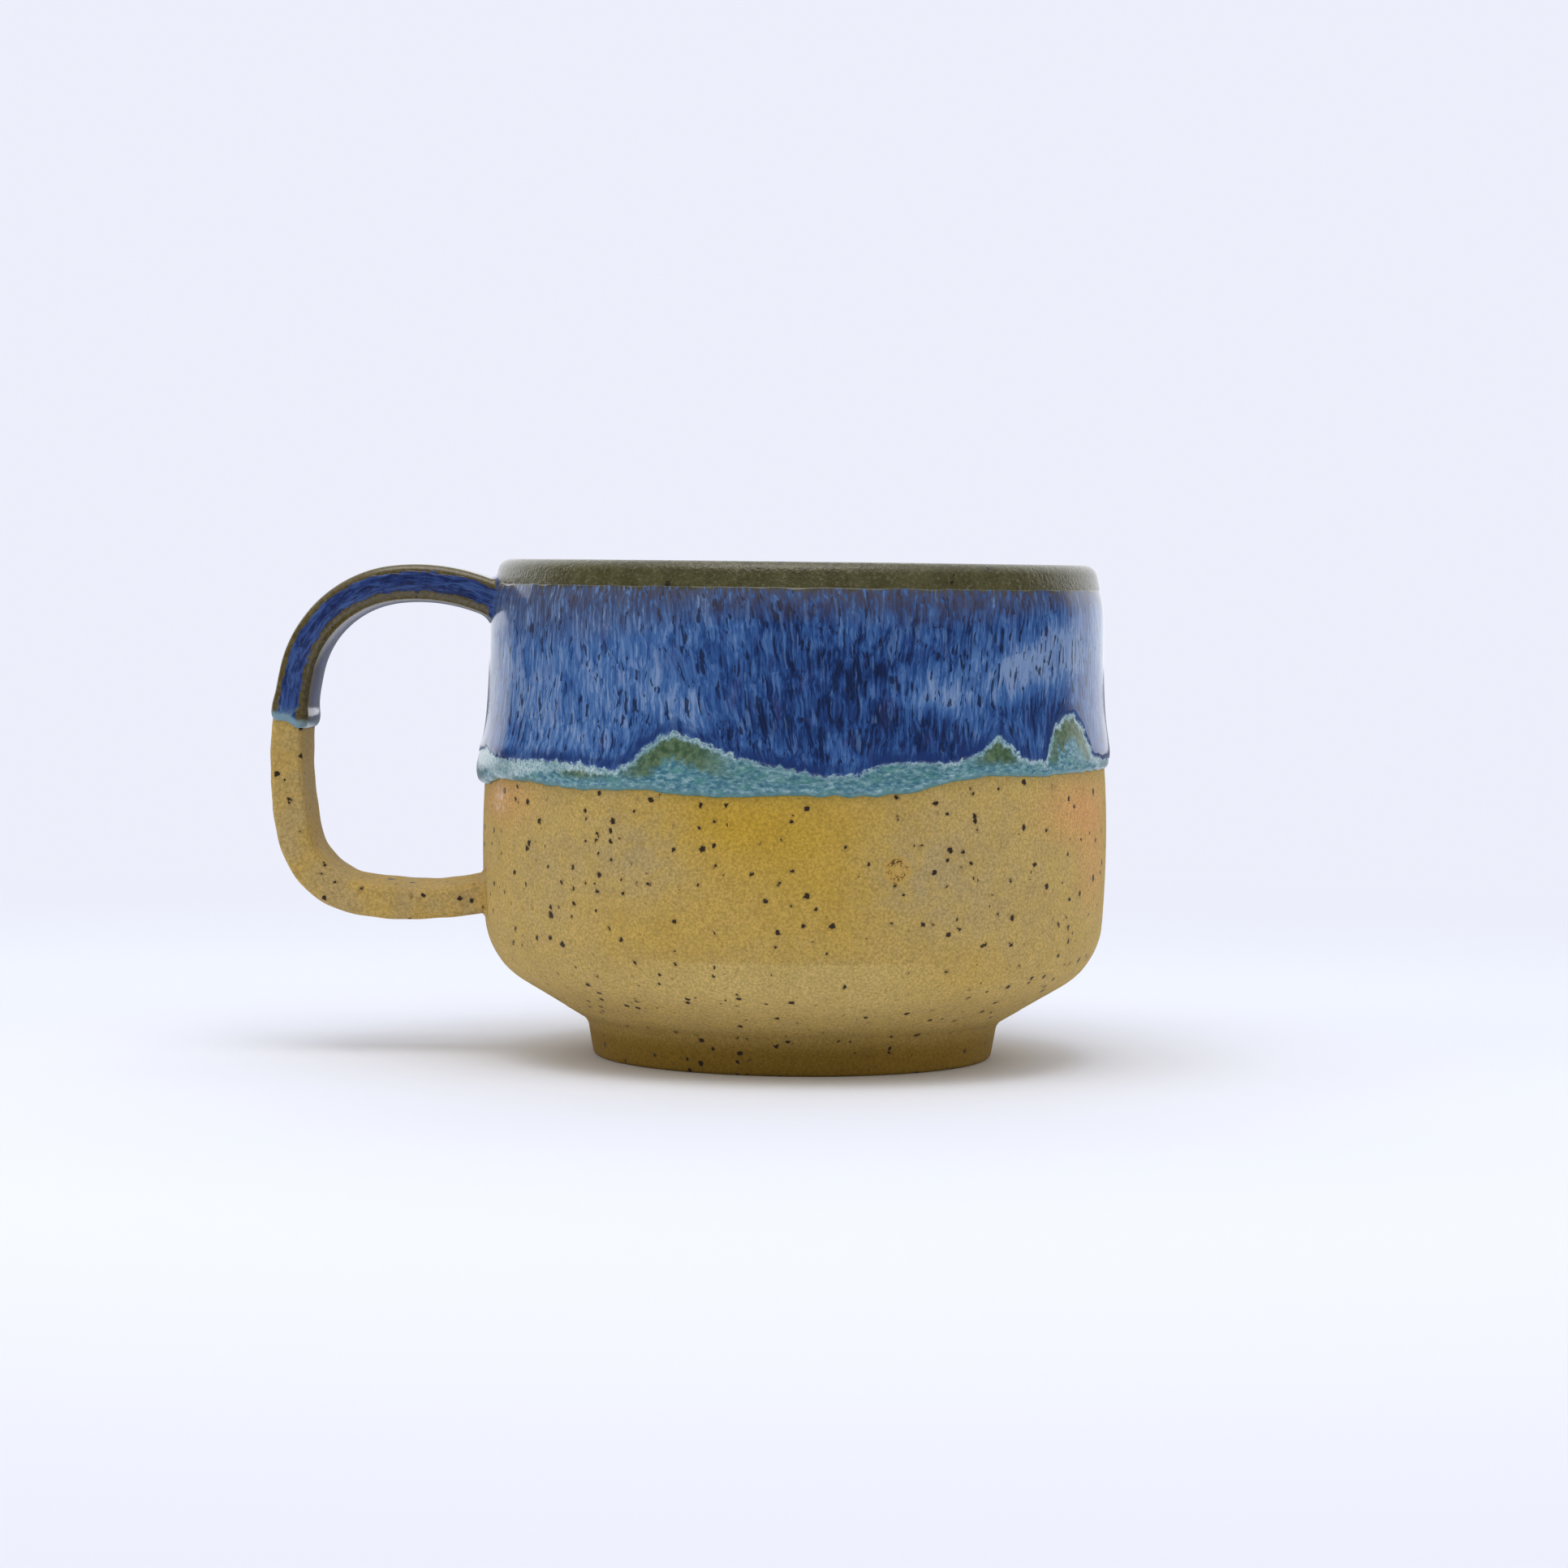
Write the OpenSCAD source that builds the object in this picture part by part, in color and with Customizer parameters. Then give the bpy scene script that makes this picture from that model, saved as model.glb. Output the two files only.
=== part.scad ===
// Stoneware mug: a thrown and turned cup, a pulled strap handle joined with slip, and its coats of glaze.
// Millimetres. +Z is up, the origin is the centre of the foot's resting plane, and the handle points to -X.

/* [Cup] */
// Widest diameter of the bare clay
cup_w = 100; // [96:1:110]
// Height to the top of the glazed lip
cup_h = 79; // [78:0.5:95]
// Diameter of the foot ring where it rests
foot_w = 62.4; // [58:0.2:64]
// Width of the flat that the foot ring rests on
foot_flat = 3.6; // [2:0.2:5]
// Depth of the recess inside the foot ring
recess = 3; // [2.2:0.1:4]
// Thickness of the lip
lip_t = 3.4; // [2.6:0.1:4]

/* [Handle] */
// Width of the strap
strap_w = 18; // [14:0.5:22]
// Thickness of the strap
strap_t = 5.2; // [4:0.1:6]
// Radius of the strap's long edges
strap_edge = 1.5; // [0.5:0.1:1.9]
// Height of the upper arm's centre where it leaves the wall
arm_z = 73.1; // [70:0.1:73.3]

/* [Joints] */
// Thickness of the slip between the strap and the wall
lute_t = 0.8; // [0.4:0.1:1.2]
// How far the slip squeezes out around the strap
lute_lip = 0.4; // [0.2:0.1:0.8]

/* [Glaze] */
// Thickness of the coats on the inside and the lip
liner_t = 0.4; // [0.3:0.05:0.6]
// Thickness of the base coat
base_t = 0.35; // [0.25:0.05:0.5]
// Thickness of the blue coat over it
blue_t = 0.25; // [0.2:0.05:0.35]
// How far the rolled lower edge of the base coat stands out at the handle, where it is fattest
roll_t = 1.4; // [0.8:0.05:1.6]
// Height of the line where the glaze ends, at its lowest
glaze_line = 43.5; // [40:0.1:44]
// Height of the blue coat's lower border, at its lowest
border_line = 46.8; // [46.8:0.1:49]
// Width of the blue glaze pooled along each side of the handle
run_w = 3; // [1.5:0.1:3.4]

/* [Hidden] */
$fn = 96;

// A path is a start [x, y, heading] and a list of moves. [radius, turn] is an arc, left turns positive,
// and [length, 0] is a straight run.
function after(s, m, part = 1) =
    m[1] == 0
    ? [s[0] + part * m[0] * cos(s[2]), s[1] + part * m[0] * sin(s[2]), s[2]]
    : let (r = sign(m[1]) * m[0], h = s[2] + part * m[1])
      [s[0] + r * (sin(h) - sin(s[2])), s[1] - r * (cos(h) - cos(s[2])), h];
function steps(m) = m[1] == 0 ? 1 : ceil(max(abs(m[1]) / 6, m[0] * abs(m[1]) / 280));
function walk(s, moves, i = 0) =
    i == len(moves)
    ? []
    : concat(
        [for (k = [0 : steps(moves[i]) - 1]) after(s, moves[i], k / steps(moves[i]))],
        walk(after(s, moves[i]), moves, i + 1)
    );
function end_of(s, moves, i = 0) = i == len(moves) ? s : end_of(after(s, moves[i]), moves, i + 1);
// A path's point moved t out of the clay, which lies on the path's left
function proud(p, t) = [p[0] + t * sin(p[2]), p[1] - t * cos(p[2])];
function flat(p) = [p[0], p[1]];

// Foot: from the middle of the recess out to the fillet under the belly
foot_slope = 80;
foot_edge = 0.8;
recess_fillet = 1.4;
recess_drop = (recess_fillet + foot_edge) * (1 - cos(foot_slope));
recess_side = (recess - recess_drop) / sin(foot_slope);
recess_r = foot_w / 2 - foot_flat - (recess_fillet + foot_edge) * sin(foot_slope)
    - recess_side * cos(foot_slope);
belly_slope = 31;
foot_moves = [
    [recess_r, 0], [recess_fillet, -foot_slope], [recess_side, 0], [foot_edge, foot_slope],
    [foot_flat, 0], [foot_edge, foot_slope], [4, 0], [2.5, belly_slope - foot_slope]
];
foot_start = [0, recess, 0];
foot_end = end_of(foot_start, foot_moves);

// Wall: the belly cone, the shoulder, the slow swell, the waist, and the upright under the lip
shoulder = [12, 55];
swell = [193, 4];
waist_in = [150, 5.5];
waist_out = [180, -5.5];
lip_lean = [36, 11];
curves_end = end_of([0, 0, belly_slope], [shoulder, swell]);
belly_run = (cup_w / 2 - foot_end[0] - curves_end[0]) / cos(belly_slope);
lip_moves = [[36, 3], [lip_t / 2, 178]];
curved_moves = [[belly_run, 0], shoulder, swell, waist_in, waist_out, lip_lean];
lean_end = end_of(foot_end, curved_moves);
crest_end = end_of(lean_end, [lip_moves[0], [lip_t / 2, 76]]);
upright = cup_h - liner_t - crest_end[1];
wall_moves = [
    [belly_run, 0], shoulder, swell, waist_in, waist_out, [upright, 0], lip_lean
];
wall_end = end_of(foot_end, wall_moves);
lip_end = end_of(wall_end, lip_moves);

// Inside: down the wall at an even thickness, round the corner and in to the middle of the floor
corner = [9, belly_slope - 90];
floor_curve = [14, -belly_slope];
inner_wall = [[40, -12], [upright, 0], [184, 5.5], [146, -5.5]];
inner_wall_end = end_of(lip_end, inner_wall);
corner_top = 24.5;
floor_slope_end = 31;
inner_down = inner_wall_end[1] - corner_top;
corner_end = after([inner_wall_end[0], corner_top, 270], corner);
slope_run = (corner_end[0] - floor_slope_end) / cos(belly_slope);
before_floor = end_of(lip_end, concat(inner_wall, [[inner_down, 0], corner, [slope_run, 0], floor_curve]));
inside_moves = concat(
    inner_wall, [[inner_down, 0], corner, [slope_run, 0], floor_curve, [before_floor[0], 0]]
);

foot_path = walk(foot_start, foot_moves);
wall_path = walk(foot_end, wall_moves);
lip_path = walk(wall_end, lip_moves);
inside_path = concat(walk(lip_end, inside_moves), [end_of(lip_end, inside_moves)]);
outer_path = concat(wall_path, lip_path);

// Radius of the bare wall at height z
wall_table = [for (p = concat(wall_path, [wall_end])) [p[1], p[0]]];
function wall_r(z) = lookup(z, wall_table);

// Handle: out of the wall, over the top corner, down the back and in along the lower arm
arm_depth = 1;
arm_start = [arm_depth - cup_w / 2, arm_z, 158];
handle_moves = [[30, 29], [18, 71], [65, 23], [13, 70], [53, 21]];
handle_end = end_of(arm_start, handle_moves);
dipped_moves = [handle_moves[0], handle_moves[1], [65, 7]];
// Straight length by which the arms are drawn on into the wall, where the cup's outside cuts them
stub = 4;
inner_start = after(arm_start, [-stub, 0]);
function whole(moves) =
    let (all = concat([[stub, 0]], moves)) concat(walk(inner_start, all), [end_of(inner_start, all)]);
whole_path = whole(concat(handle_moves, [[stub, 0]]));
dipped_path = whole(dipped_moves);

// Coats: rings of points around the cup, each ring's facets just touching the clay at their middles
ring_n = 120;
coat_levels = 7;
snug = 1 / cos(180 / ring_n);
band_z = wall_end[1];
function wrap(a) = a - 360 * round(a / 360);
// Both edges go round the cup from 0 degrees at +X through the back, the handle at 180 and the front at
// 270. Each point is [angle, rise].
line_rises = [
    [0, 3.5], [20, 3], [45, 1.5], [75, 0.8], [100, 1.6], [130, 0.6], [160, 0.8], [185, 0], [195, 0],
    [202, 1.2], [215, 1.2], [228, 0.6], [236, 0.7], [241, 1.1], [250, 0.4], [260, 0.2], [268, 0.7],
    [280, 0.5], [290, 1], [300, 3], [308, 3.5], [318, 3.1], [330, 3.4], [360, 3.5]
];
border_rises = [
    [0, 1.8], [15, 2.5], [30, 6], [42, 7], [52, 3], [62, 0.8], [80, 1.5], [95, 4], [103, 4.5], [112, 1.5],
    [130, 0.6], [145, 2.2], [160, 1.5], [180, 1.2], [195, 2.5], [203, 1.2], [208, 0.9], [218, 1.3],
    [230, 1.1], [236, 0.2], [240, 1.4], [244, 4.6], [248, 6.5], [253, 5.2], [260, 2.8], [265, 1.8],
    [270, 1], [274, 0.2], [280, 0.3], [285, 2], [290, 2.3], [298, 2.1], [303, 3.4], [306, 4.6], [308, 6.4],
    [310, 4.9], [313, 3.1], [316, 2], [320, 2.3], [323, 7], [327, 8.9], [331, 9], [334, 7], [338, 2.2],
    [345, 1.5], [360, 1.8]
];
function coat_edge(a) = glaze_line + lookup(a, line_rises);
function blue_edge(a) = border_line + lookup(a, border_rises);

// Solid of revolution of the cup's outside, t proud of the clay
module envelope(t) {
    points = [for (p = outer_path) proud(p, t)];
    rotate_extrude()
        polygon(concat([[0, points[0][1]]], points, [[0, points[len(points) - 1][1]]]));
}

// Coat of thickness t over a stretch of the cup's outline
module turned_coat(path, t) {
    rotate_extrude()
        polygon(concat(
            [for (p = path) flat(p)],
            [for (i = [len(path) - 1 : -1 : 0]) proud(path[i], t)]
        ));
}

// Section of the strap, g bigger on every side
module strap_section(g = 0) {
    t = strap_t + 2 * g;
    w = strap_w + 2 * g;
    r = strap_edge + g;
    union() {
        square([t, w - 2 * r], center = true);
        square([t - 2 * r, w], center = true);
        for (x = [-1, 1], y = [-1, 1])
            translate([x * (t / 2 - r), y * (w / 2 - r)]) circle(r);
    }
}

// The same section as points, counter-clockwise
corner_signs = [[1, 1], [-1, 1], [-1, -1], [1, -1]];
function section_points(g) = [
    for (q = [0 : 3], k = [0 : 4])
        let (a = (q + k / 4) * 90, r = strap_edge + g)
            [
                corner_signs[q][0] * (strap_t / 2 - strap_edge) + r * cos(a),
                corner_signs[q][1] * (strap_w / 2 - strap_edge) + r * sin(a)
            ]
];
// A section's point [across, along Y] set at a path's point in the XZ plane
function placed(s, p) = [s[0] + p[0] * sin(s[2]), p[1], s[1] - p[0] * cos(s[2])];

// Skin over rows of points. The columns always close, and the rows close or are capped at both ends.
module skin(rows, capped) {
    n = len(rows);
    m = len(rows[0]);
    sides = [
        for (i = [0 : n - (capped ? 2 : 1)], j = [0 : m - 1])
            let (i2 = (i + 1) % n, j2 = (j + 1) % m)
                each [
                    [i * m + j, i * m + j2, i2 * m + j2],
                    [i * m + j, i2 * m + j2, i2 * m + j]
                ]
    ];
    caps = [[for (j = [m - 1 : -1 : 0]) j], [for (j = [0 : m - 1]) (n - 1) * m + j]];
    polyhedron([for (row = rows) each row], capped ? concat(sides, caps) : sides);
}

// Straight length of a section from a path's point, along its heading
module straight(s, length) {
    translate([s[0], 0, s[1]])
        rotate([0, 90 - s[2], 0]) linear_extrude(length) children();
}

// Slip between an arm's end and the wall, following both
module lute(s) {
    difference() {
        intersection() {
            straight(after(s, [-stub, 0]), 2 * stub) strap_section(lute_lip);
            envelope(lute_t);
        }
        envelope(0);
    }
}

// Closed ring whose section [radius, height] changes with the angle, with the upper arm's joint left out
module wavy_coat(section_at) {
    difference() {
        skin([
            for (i = [0 : ring_n - 1])
                let (a = i * 360 / ring_n)
                    [for (p = section_at(a)) [p[0] * snug * cos(a), p[0] * snug * sin(a), p[1]]]
        ], false);
        straight(inner_start, 2 * stub) strap_section(lute_lip);
    }
}
// Height of level j of a coat that starts at z0, with the levels closer together near its edge
function level(z0, j) = z0 + (band_z - z0) * pow(j / coat_levels, 1.8);
// The base coat is a rounded roll above its edge and thins to an even coat higher up
function roll_share(a) = 0.35 + 0.65 * exp(-pow(wrap(a - 188) / 24, 2));
function base_out(a, z) =
    base_t + (roll_t - base_t) * roll_share(a) * exp(-pow((z - coat_edge(a) - 2) / 2.4, 2));
function base_section(a) =
    let (z0 = coat_edge(a), zs = [for (j = [0 : coat_levels]) level(z0, j)])
        concat(
            [for (z = zs) [wall_r(z) + (z == z0 ? base_t / 2 : base_out(a, z)), z]],
            [for (j = [coat_levels : -1 : 0]) [wall_r(zs[j]), zs[j]]]
        );
function blue_section(a) =
    let (z0 = blue_edge(a), zs = [for (j = [0 : coat_levels]) level(z0, j)])
        concat(
            [for (z = zs) [wall_r(z) + base_out(a, z) + (z == z0 ? blue_t / 2 : blue_t), z]],
            [for (j = [coat_levels : -1 : 0]) [wall_r(zs[j]) + base_out(a, zs[j]), zs[j]]]
        );

module cup_body() {
    color("burlywood")
        rotate_extrude()
            polygon([for (p = concat(foot_path, wall_path, lip_path, inside_path)) flat(p)]);
}

module handle_strap() {
    section = section_points(0);
    color("tan")
        difference() {
            skin([
                for (s = whole_path)
                    [for (k = [len(section) - 1 : -1 : 0]) placed(s, section[k])]
            ], true);
            envelope(lute_t);
        }
}

module upper_lute() {
    color("peru") lute(arm_start);
}

module lower_lute() {
    color("peru") lute(handle_end);
}

module liner_glaze() {
    color("mediumaquamarine") turned_coat(inside_path, liner_t);
}

module lip_glaze() {
    color("darkolivegreen") turned_coat(concat(lip_path, [lip_end]), liner_t);
}

module base_glaze() {
    color("darkseagreen") wavy_coat(function (a) base_section(a));
}

module blue_glaze() {
    color("steelblue") wavy_coat(function (a) blue_section(a));
}

// The coat wraps the strap and stops at the slip around the upper joint
module handle_base_glaze() {
    inner = section_points(0);
    outer = section_points(base_t);
    color("olivedrab")
        difference() {
            skin([
                for (k = [0 : len(inner) - 1])
                    concat(
                        [for (s = dipped_path) placed(s, outer[k])],
                        [for (i = [len(dipped_path) - 1 : -1 : 0]) placed(dipped_path[i], inner[k])]
                    )
            ], false);
            envelope(lute_t);
        }
}

// Glaze pooled along the strap's back edge face: flat below, crowned above, and narrow at its end
module blue_run() {
    y0 = strap_w / 2 + base_t;
    crown = [for (u = [-1 : 0.5 : 1]) [u * run_w / 2, y0 + blue_t * (1 - 0.6 * u * u)]];
    section = concat([[run_w / 2, y0], [-run_w / 2, y0]], crown);
    last = len(dipped_path) - 1;
    difference() {
        skin([
            for (i = [0 : last])
                [for (p = section) placed(dipped_path[i], [p[0] * (i == last ? 0.4 : 1), p[1]])]
        ], true);
        envelope(lute_t);
    }
}

module front_blue_run() {
    color("royalblue") mirror([0, 1, 0]) blue_run();
}

module back_blue_run() {
    color("royalblue") blue_run();
}

cup_body();
handle_strap();
upper_lute();
lower_lute();
liner_glaze();
lip_glaze();
base_glaze();
blue_glaze();
handle_base_glaze();
front_blue_run();
back_blue_run();
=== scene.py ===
# A thrown stoneware mug with a strap handle, bare below and glazed above. Lengths in the tables and
# profiles are millimetres, and become metres when a mesh is shaped. Angles round the cup are degrees from
# +X, so the back is 90, the handle 180 and the front 270.
import math

import bpy
import numpy as np
from mathutils import Euler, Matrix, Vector

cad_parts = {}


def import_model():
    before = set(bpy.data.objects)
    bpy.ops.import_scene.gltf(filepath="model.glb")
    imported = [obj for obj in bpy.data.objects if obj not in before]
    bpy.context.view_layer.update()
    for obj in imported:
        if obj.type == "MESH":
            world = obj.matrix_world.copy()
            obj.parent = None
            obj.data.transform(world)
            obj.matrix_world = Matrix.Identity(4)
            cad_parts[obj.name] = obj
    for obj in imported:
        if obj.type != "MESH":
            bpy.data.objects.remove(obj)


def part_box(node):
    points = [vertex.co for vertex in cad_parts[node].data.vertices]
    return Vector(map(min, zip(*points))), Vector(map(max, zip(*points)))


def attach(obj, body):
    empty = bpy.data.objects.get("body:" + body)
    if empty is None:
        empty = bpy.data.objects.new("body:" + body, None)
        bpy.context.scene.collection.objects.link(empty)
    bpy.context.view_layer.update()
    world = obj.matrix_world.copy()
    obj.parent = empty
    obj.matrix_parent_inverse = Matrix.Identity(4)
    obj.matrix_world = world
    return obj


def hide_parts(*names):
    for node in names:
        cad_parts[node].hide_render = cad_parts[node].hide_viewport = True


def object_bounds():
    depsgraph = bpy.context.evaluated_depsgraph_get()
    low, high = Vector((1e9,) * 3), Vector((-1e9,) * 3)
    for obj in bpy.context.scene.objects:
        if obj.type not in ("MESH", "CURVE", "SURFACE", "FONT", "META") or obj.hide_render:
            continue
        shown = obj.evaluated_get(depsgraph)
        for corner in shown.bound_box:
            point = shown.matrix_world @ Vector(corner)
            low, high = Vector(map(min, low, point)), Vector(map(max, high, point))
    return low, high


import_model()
cad_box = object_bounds()
MM = 0.001
AROUND = 640
rng = np.random.default_rng(7)
BACKDROP = (0.845, 0.862, 0.968, 1)


# ---- paths
# A path starts at (x, y, heading) and takes moves: (radius, turn) is an arc, left turns positive, and
# (length, 0) is a straight run.
def after(state, move, part=1.0):
    x, y, heading = state
    size, turn = move
    if turn == 0:
        a = math.radians(heading)
        return x + part * size * math.cos(a), y + part * size * math.sin(a), heading
    r = math.copysign(size, turn)
    a, b = math.radians(heading), math.radians(heading + part * turn)
    return x + r * (math.sin(b) - math.sin(a)), y - r * (math.cos(b) - math.cos(a)), heading + part * turn


def end_of(state, moves):
    for move in moves:
        state = after(state, move)
    return state


def walk(state, moves, spacing):
    """States along the path, about spacing apart, and at most 6 degrees apart on an arc."""
    states = []
    for size, turn in moves:
        length = size if turn == 0 else size * math.radians(abs(turn))
        steps = max(1, math.ceil(length / spacing), math.ceil(abs(turn) / 6))
        states += [after(state, (size, turn), k / steps) for k in range(steps)]
        state = after(state, (size, turn))
    return states + [state]


# ---- the cup's outline
FOOT_SLOPE, BELLY_SLOPE, LIP_T, LINER_T = 80, 31, 3.4, 0.4
FOOT_EDGE, RECESS_FILLET, RECESS, FOOT_FLAT, FOOT_R = 0.8, 1.4, 3, 3.6, 31.2
cup_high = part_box("cup_body")[1]
cup_r, clay_top = cup_high.x / MM, cup_high.z / MM
recess_drop = (RECESS_FILLET + FOOT_EDGE) * (1 - math.cos(math.radians(FOOT_SLOPE)))
recess_side = (RECESS - recess_drop) / math.sin(math.radians(FOOT_SLOPE))
recess_r = (FOOT_R - FOOT_FLAT - (RECESS_FILLET + FOOT_EDGE) * math.sin(math.radians(FOOT_SLOPE))
            - recess_side * math.cos(math.radians(FOOT_SLOPE)))
foot_moves = [(recess_r, 0), (RECESS_FILLET, -FOOT_SLOPE), (recess_side, 0), (FOOT_EDGE, FOOT_SLOPE),
              (FOOT_FLAT, 0), (FOOT_EDGE, FOOT_SLOPE), (4, 0), (2.5, BELLY_SLOPE - FOOT_SLOPE)]
foot_end = end_of((0, RECESS, 0), foot_moves)
shoulder, swell, waist_in, waist_out, lip_lean = (12, 55), (193, 4), (150, 5.5), (180, -5.5), (36, 11)
curves_end = end_of((0, 0, BELLY_SLOPE), [shoulder, swell])
belly_run = (cup_r - foot_end[0] - curves_end[0]) / math.cos(math.radians(BELLY_SLOPE))
belly = [(belly_run, 0), shoulder, swell, waist_in, waist_out]
lip_moves = [(36, 3), (LIP_T / 2, 178)]
crest_end = end_of(foot_end, belly + [lip_lean, lip_moves[0], (LIP_T / 2, 76)])
upright = clay_top - crest_end[1]
wall_moves = belly + [(upright, 0), lip_lean]
wall_end = end_of(foot_end, wall_moves)
lip_end = end_of(wall_end, lip_moves)
inner_wall = [(40, -12), (upright, 0), (184, 5.5), (146, -5.5)]
inner_wall_end = end_of(lip_end, inner_wall)
CORNER, FLOOR_CURVE, CORNER_TOP, FLOOR_SLOPE_END = (9, BELLY_SLOPE - 90), (14, -BELLY_SLOPE), 24.5, 31
corner_end = after((inner_wall_end[0], CORNER_TOP, 270), CORNER)
slope_run = (corner_end[0] - FLOOR_SLOPE_END) / math.cos(math.radians(BELLY_SLOPE))
inside_moves = inner_wall + [(inner_wall_end[1] - CORNER_TOP, 0), CORNER, (slope_run, 0), FLOOR_CURVE]
inside_moves.append((end_of(lip_end, inside_moves)[0], 0))

wall_line = np.array(walk(foot_end, wall_moves, 0.3))


def wall_r(z):
    """Radius of the bare clay wall at height z."""
    return np.interp(z, wall_line[:, 1], wall_line[:, 0])


# ---- edges of the glaze
GLAZE_LINE, BORDER_LINE, BAND_Z = 43.5, 46.8, wall_end[1]
LINE_RISES = [
    (0, 3.5), (20, 3), (45, 1.5), (75, 0.8), (100, 1.6), (130, 0.6), (160, 0.8), (185, 0), (195, 0),
    (202, 1.2), (215, 1.2), (228, 0.6), (236, 0.7), (241, 1.1), (250, 0.4), (260, 0.2), (268, 0.7),
    (280, 0.5), (290, 1), (300, 3), (308, 3.5), (318, 3.1), (330, 3.4)]
BORDER_RISES = [
    (0, 1.8), (15, 2.5), (30, 6), (42, 7), (52, 3), (62, 0.8), (80, 1.5), (95, 4), (103, 4.5), (112, 1.5),
    (130, 0.6), (145, 2.2), (160, 1.5), (180, 1.2), (195, 2.5), (203, 1.2), (208, 0.9), (218, 1.3),
    (230, 1.1), (236, 0.2), (240, 1.4), (244, 4.6), (248, 6.5), (253, 5.2), (260, 2.8), (265, 1.8),
    (270, 1), (274, 0.2), (280, 0.3), (285, 2), (290, 2.3), (298, 2.1), (303, 3.4), (306, 4.6), (308, 6.4),
    (310, 4.9), (313, 3.1), (316, 2), (320, 2.3), (323, 7), (327, 8.9), (331, 9), (334, 7), (338, 2.2),
    (345, 1.5)]
DENSE = np.arange(0, 360, 0.1)


def ring_wobble(count, lowest, highest, size):
    """Sum of sines that closes round the cup, each with its own seeded phase."""
    waves = rng.integers(lowest, highest, count)
    phases = rng.uniform(0, 2 * math.pi, count)
    return size * sum(np.sin(np.radians(DENSE) * n + p) for n, p in zip(waves, phases)) / math.sqrt(count)


def ring_curve(base, rises, soften, wobble):
    """Height at every tenth of a degree: the chosen points joined, softened and given a fine wobble."""
    a, v = np.array(rises, float).T
    line = np.interp(DENSE, a, v, period=360)
    reach = np.arange(-int(30 * soften), int(30 * soften) + 1)
    weight = np.exp(-((reach / (10 * soften)) ** 2) / 2)
    line = sum(w * np.roll(line, r) for w, r in zip(weight, reach)) / weight.sum()
    return base + line + wobble


line_curve = ring_curve(GLAZE_LINE, LINE_RISES, 1.5, ring_wobble(12, 20, 90, 0.1))
border_curve = ring_curve(BORDER_LINE, BORDER_RISES, 0.6, ring_wobble(24, 40, 200, 0.16))
flow_curve = ring_curve(BORDER_LINE, BORDER_RISES, 2.5, 0)
band_curve = BAND_Z - 0.2 + ring_wobble(10, 15, 70, 0.12)


def on_ring(curve, degrees):
    return np.interp(degrees, DENSE, curve, period=360)


def slope_on_ring(curve, degrees):
    """Rise per degree."""
    return (on_ring(curve, degrees + 0.2) - on_ring(curve, degrees - 0.2)) / 0.4


def past_edge(curve, degrees, z, r):
    """Distance above a wavy edge, measured square to it."""
    steep = slope_on_ring(curve, degrees) * 180 / math.pi / r
    return (z - on_ring(curve, degrees)) / np.sqrt(1 + steep ** 2)


def around(degrees, middle):
    return (degrees - middle + 180) % 360 - 180


def rounded(distance, radius):
    """Share from 0 to 1 that rises over the radius as a quarter circle does."""
    return np.sqrt(np.clip(1 - (1 - np.clip(distance / radius, 0, 1)) ** 2, 0, 1))


# ---- modelling
def set_mode(mode):
    bpy.ops.object.mode_set(mode=mode)


def start_new():
    if bpy.context.object and bpy.context.object.mode != "OBJECT":
        set_mode("OBJECT")
    bpy.ops.object.select_all(action="DESELECT")


def drawn_line(name, points, closed=False):
    """Object of one polyline, left in edit mode with none of it selected. Points are (x, y, z) in mm."""
    start_new()
    bpy.ops.mesh.primitive_plane_add(size=MM)
    piece = bpy.context.object
    piece.name = piece.data.name = name
    set_mode("EDIT")
    bpy.ops.mesh.merge(type="CENTER")
    bpy.ops.transform.translate(value=Vector(points[0]) * MM)
    for a, b in zip(points, points[1:]):
        bpy.ops.mesh.extrude_region_move(
            TRANSFORM_OT_translate={"value": (Vector(b) - Vector(a)) * MM})
    if closed:
        bpy.ops.mesh.select_all(action="DESELECT")
        set_mode("OBJECT")
        for v in piece.data.vertices:
            v.select = v.index in (0, len(points) - 1)
        set_mode("EDIT")
        bpy.ops.mesh.edge_face_add()
    bpy.ops.mesh.select_all(action="DESELECT")
    return piece


def spun(name, points, closed=False, steps=AROUND):
    """Solid of revolution of a line given as (radius, height) in mm. A stretch along the axis is left out."""
    piece = drawn_line(name, [(r, 0, z) for r, z in points], closed)
    set_mode("OBJECT")
    mesh = piece.data
    for edge in mesh.edges:
        edge.select = all(abs(mesh.vertices[v].co.x) < 0.001 * MM for v in edge.vertices)
    set_mode("EDIT")
    bpy.ops.mesh.select_mode(type="EDGE")
    bpy.ops.mesh.delete(type="EDGE")
    bpy.ops.mesh.select_mode(type="VERT")
    set_mode("OBJECT")
    turn = piece.modifiers.new("turn", "SCREW")
    turn.steps = turn.render_steps = steps
    turn.use_merge_vertices = True
    turn.merge_threshold = 0.002 * MM
    bpy.ops.object.modifier_apply(modifier=turn.name)
    return piece


def set_points(piece, points):
    piece.data.vertices.foreach_set("co", (points * MM).astype(np.float32).ravel())
    piece.data.update()


def polar_points(piece):
    """Radius, angle and height of each of the piece's points, in mm and degrees."""
    co = np.empty(len(piece.data.vertices) * 3, np.float32)
    piece.data.vertices.foreach_get("co", co)
    x, y, z = (co.reshape(-1, 3).astype(float) / MM).T
    return np.hypot(x, y), np.degrees(np.arctan2(y, x)) % 360, z


def from_polar(r, degrees, z):
    a = np.radians(degrees)
    return np.stack([r * np.cos(a), r * np.sin(a), z], axis=1)


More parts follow.
